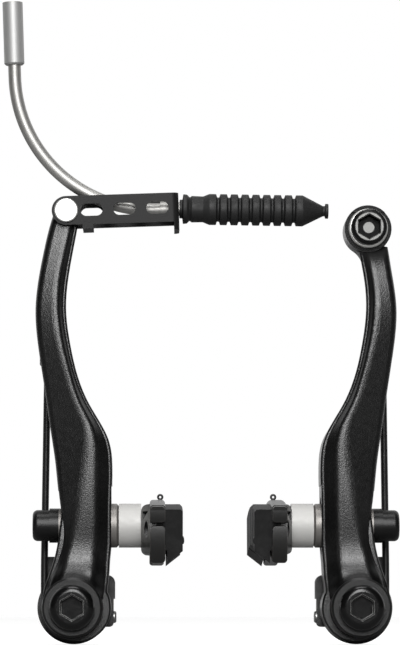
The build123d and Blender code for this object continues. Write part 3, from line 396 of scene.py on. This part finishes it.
# Link: stamped steel channel with three slots, riveted to the left arm's tip.
# Its satin dark coating shows the sheet's rolling grain, and its rivet is bright.
coated_steel = grey(0.01)
link_steel, tree, shader = finish("link_steel", coated_steel, roughness=0.45, specular=0.15)
relief(tree, shader, grain(tree, 0.3 * mm, detail=3), depth=0.008 * mm)
stain(tree, shader, edge_mask(tree, 0.15 * mm), coated_steel, grey(0.03))
dress(link_steel, "link")

rivet_steel, tree, shader = finish("rivet_steel", (0.7, 0.7, 0.68), roughness=0.4, metallic=0.7)
relief(tree, shader, grain(tree, 0.2 * mm), depth=0.003 * mm)
dress(rivet_steel, "link_rivet", "cable_clamp_washer")

# Noodle: bent steel tube that leads the cable into the link, with a nose that seats there.
# The tube is drawn, with a satin skin.
noodle_steel, tree, shader = finish("noodle_steel", (0.4, 0.395, 0.38), roughness=0.5, metallic=0.9)
relief(tree, shader, grain(tree, 1.2 * mm), depth=0.004 * mm)
mottle(tree, shader, 2 * mm, smooth=0.46, rough=0.54)
dress(noodle_steel, "noodle_tube", "noodle_nose")

# Ferrule: aluminium socket for the cable housing, crimped on top of the noodle, with a
# plastic liner running through both.
ferrule_aluminium, tree, shader = finish(
    "ferrule_aluminium", (0.42, 0.42, 0.415), roughness=0.55, metallic=0.7
)
relief(tree, shader, grain(tree, 0.2 * mm), depth=0.006 * mm)
dress(ferrule_aluminium, "noodle_ferrule")
liner_plastic, tree, shader = finish("liner_plastic", (0.7, 0.7, 0.68), roughness=0.5)
relief(tree, shader, grain(tree, 0.3 * mm), depth=0.004 * mm)
dress(liner_plastic, "noodle_liner")

# Boot: moulded rubber bellows over the bare cable, slipped onto the noodle's nose.
# Nine ribs with rounded edges, a lip at the link and a beaded mouth.
link_lean = radians(2.0)
boot_droop = radians(2.8)
boot_lean = link_lean - boot_droop
link_reach, boot_gap = 31.6 * mm, 0.25 * mm
rivet_place = Vector((-42.1, -14.5, 111.0)) * mm
boot_start = rivet_place + (link_reach + boot_gap) * Vector((cos(link_lean), 0, sin(link_lean)))
collar_bore, collar_radius, collar_length = 2.2, 2.65, 0.8
lip_start, lip_radius, lip_end, lip_end_radius = 1.0, 4.2, 2.1, 4.1
waist_place, waist_radius = 2.9, 3.3
sleeve_start, sleeve_radius, sleeve_end, sleeve_end_radius = 3.4, 3.75, 6.6, 3.65
first_rib, rib_pitch, rib_width, rib_count = 8.4, 3.05, 1.9, 9
rib_radius, groove_radius = 4.38, 3.42
cone_length = 5.8
tip_radius, tip_bore, tip_end = 1.45, 0.95, 41.0
bead_start, bead_radius, boot_length = 41.1, 2.1, 42.0
wide_bore, nose_end = 2.4, 4.8
edge_round = 0.16 * mm
boot_segments = 56
boot_rubber, tree, shader = finish("boot_rubber", grey(0.007), roughness=0.5, specular=0.35)
relief(tree, shader, grain(tree, 0.5 * mm, detail=3), depth=0.02 * mm)
mottle(tree, shader, 2 * mm, smooth=0.48, rough=0.64)
profile = [(0, collar_bore), (0, collar_radius), (collar_length, collar_radius)]
profile += [(lip_start, lip_radius), (lip_end, lip_end_radius), (waist_place, waist_radius)]
profile += [(sleeve_start, sleeve_radius), (sleeve_end, sleeve_end_radius)]
rib_slope = (rib_pitch - rib_width) / 4
for count in range(rib_count):
    rib_start = first_rib + count * rib_pitch
    if count:
        profile.append((rib_start - rib_slope, groove_radius))
    profile += [(rib_start, rib_radius), (rib_start + rib_width, rib_radius)]
    if count < rib_count - 1:
        profile.append((rib_start + rib_width + rib_slope, groove_radius))
cone_start = profile[-1][0]
cone_end = cone_start + cone_length
profile += [(cone_end, tip_radius), (tip_end, tip_radius), (bead_start, bead_radius)]
profile += [(boot_length, bead_radius), (boot_length, tip_bore), (cone_end, tip_bore)]
profile += [(cone_start, wide_bore), (sleeve_end, wide_bore), (nose_end, collar_bore)]
bm = bmesh.new()
outline = [bm.verts.new((along_boot * mm, 0, out * mm)) for along_boot, out in profile]
bm.faces.new(outline)
bmesh.ops.bevel(
    bm, geom=outline, offset=edge_round, offset_type="OFFSET", affect="VERTICES",
    segments=3, profile=0.5, clamp_overlap=True, material=-1,
)
bmesh.ops.delete(bm, geom=list(bm.faces), context="FACES_ONLY")
bmesh.ops.spin(
    bm, geom=list(bm.verts) + list(bm.edges), cent=(0, 0, 0), axis=(1, 0, 0),
    angle=2 * pi, steps=boot_segments, use_merge=True,
)
lay = Matrix.Translation(boot_start) @ Matrix.Rotation(-boot_lean, 4, "Y")
bmesh.ops.transform(bm, matrix=lay, verts=bm.verts)
boot = piece_from(bm, "boot_bellows", boot_rubber, "link")
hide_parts("cable_boot")

# Cable clamp: blackened bolt and bright washer on the right arm's tip.
# The bolt's front is faced bare round the socket, and the socket's floor shows the drill's flat.
face_radius, face_fade = 3.82 * mm, 3.92 * mm
face_front, face_rear = -26.4 * mm, -26.2 * mm
recess_front, recess_rear = -26.0 * mm, -25.4 * mm
drill_radius, drill_fade = 1.5 * mm, 1.6 * mm
clamp_black, bare_steel = grey(0.004), (0.17, 0.17, 0.165)
clamp_steel, tree, shader = finish("clamp_steel", clamp_black, roughness=0.3, specular=0.2)
relief(tree, shader, grain(tree, 0.3 * mm, detail=3), depth=0.012 * mm)
from_bolt = away_from(tree, clamp_x, clamp_z)
inside = spread(tree, from_bolt, face_radius, face_fade, 1.0, 0.0)
forward = spread(tree, along(tree, "Y"), face_front, face_rear, 1.0, 0.0)
# Painted shade: the specular drops from 0.2 to 0.03 deeper in the hex socket, where its walls shade it.
socket_shade = times(tree, inside, spread(tree, along(tree, "Y"), recess_front, recess_rear))
tree.links.new(spread(tree, socket_shade, 0, 1, 0.2, 0.03), shader.inputs["Specular IOR Level"])
drill = spread(tree, from_bolt, drill_radius, drill_fade, 1.0, 0.0)
bare = times(tree, times(tree, inside, forward), drill, "MAXIMUM")
stain(tree, shader, bare, clamp_black, bare_steel)
tree.links.new(bare, shader.inputs["Metallic"])
tree.links.new(spread(tree, bare, 0, 1, 0.3, 0.5), shader.inputs["Roughness"])
dress(clamp_steel, "cable_clamp_bolt")

# Floor, light and camera: a plain pale studio with a tall soft light in front and a small one
# above. The backdrop is white to the camera and behind the part, and mirrored rays that leave
# to the front see little, which keeps the black pieces dark.
floor_size = 6.0
floor_gap = 0.05 * mm
floor_glow = 0.86
floor_paint, tree, shader = finish("floor_paint", grey(0.35), roughness=0.9)
shader.inputs["Emission Color"].default_value = (1, 1, 1, 1)
rays = tree.nodes.new("ShaderNodeLightPath")
glow = spread(tree, rays.outputs["Is Camera Ray"], 0, 1, 0.0, floor_glow)
tree.links.new(glow, shader.inputs["Emission Strength"])
bm = bmesh.new()
bmesh.ops.create_grid(bm, x_segments=1, y_segments=1, size=floor_size / 2)
bmesh.ops.translate(bm, vec=(0, 0, solid_box[0].z - floor_gap), verts=bm.verts)
mesh = bpy.data.meshes.new("floor")
bm.to_mesh(mesh)
bm.free()
mesh.materials.append(floor_paint)
floor = bpy.data.objects.new("floor", mesh)
bpy.context.scene.collection.objects.link(floor)

front_gloss, rear_gloss, fill_light = 0.04, 1.0, 0.15
fade_start, fade_end = 0.1, 0.5
world = bpy.data.worlds.new("studio")
bpy.context.scene.world = world
world.use_nodes = True
tree = world.node_tree
backdrop = tree.nodes["Background"]
rays = tree.nodes.new("ShaderNodeLightPath")
toward = tree.nodes.new("ShaderNodeTexCoord")
split = tree.nodes.new("ShaderNodeSeparateXYZ")
tree.links.new(toward.outputs["Generated"], split.inputs["Vector"])
behind = spread(tree, split.outputs["Y"], fade_start, fade_end, front_gloss, rear_gloss)
mirrored = times(tree, behind, rays.outputs["Is Glossy Ray"])
soft = spread(tree, rays.outputs["Is Glossy Ray"], 0, 1, fill_light, 0.0)
unseen = times(tree, mirrored, soft, "MAXIMUM")
backdrop.inputs["Color"].default_value = (1, 1, 1, 1)
tree.links.new(times(tree, unseen, rays.outputs["Is Camera Ray"], "MAXIMUM"), backdrop.inputs["Strength"])


def lamp(name, place, aim, width, height, power):
    """Soft area light that faces a point."""
    data = bpy.data.lights.new(name, "AREA")
    data.shape = "RECTANGLE"
    data.size, data.size_y, data.energy = width, height, power
    obj = bpy.data.objects.new(name, data)
    obj.location = place
    obj.rotation_euler = (Vector(aim) - Vector(place)).to_track_quat("-Z", "Y").to_euler()
    bpy.context.scene.collection.objects.link(obj)


middle = Vector((0, -15, 75)) * mm
lamp("front_light", (0.0, -1.03, 0.51), middle, width=0.34, height=0.72, power=13.5)
lamp("top_light", (0.0, -0.2, 1.05), middle, width=0.5, height=0.4, power=4.0)

picture_height = 646
focal_pixels = 3488.25
camera_place = Vector((-20.53, -992.73, -0.24)) * mm
yaw, pitch = radians(0.94), radians(4.68)
camera_data = bpy.data.cameras.new("camera")
camera_data.sensor_width = 36
camera_data.lens = focal_pixels / picture_height * camera_data.sensor_width
camera_data.clip_start, camera_data.clip_end = 0.05, 20
camera = bpy.data.objects.new("camera", camera_data)
camera.location = camera_place
gaze = Vector((sin(yaw) * cos(pitch), cos(yaw) * cos(pitch), sin(pitch)))
camera.rotation_euler = gaze.to_track_quat("-Z", "Y").to_euler()
bpy.context.scene.collection.objects.link(camera)
bpy.context.scene.camera = camera
bpy.context.scene.view_settings.view_transform = "Standard"
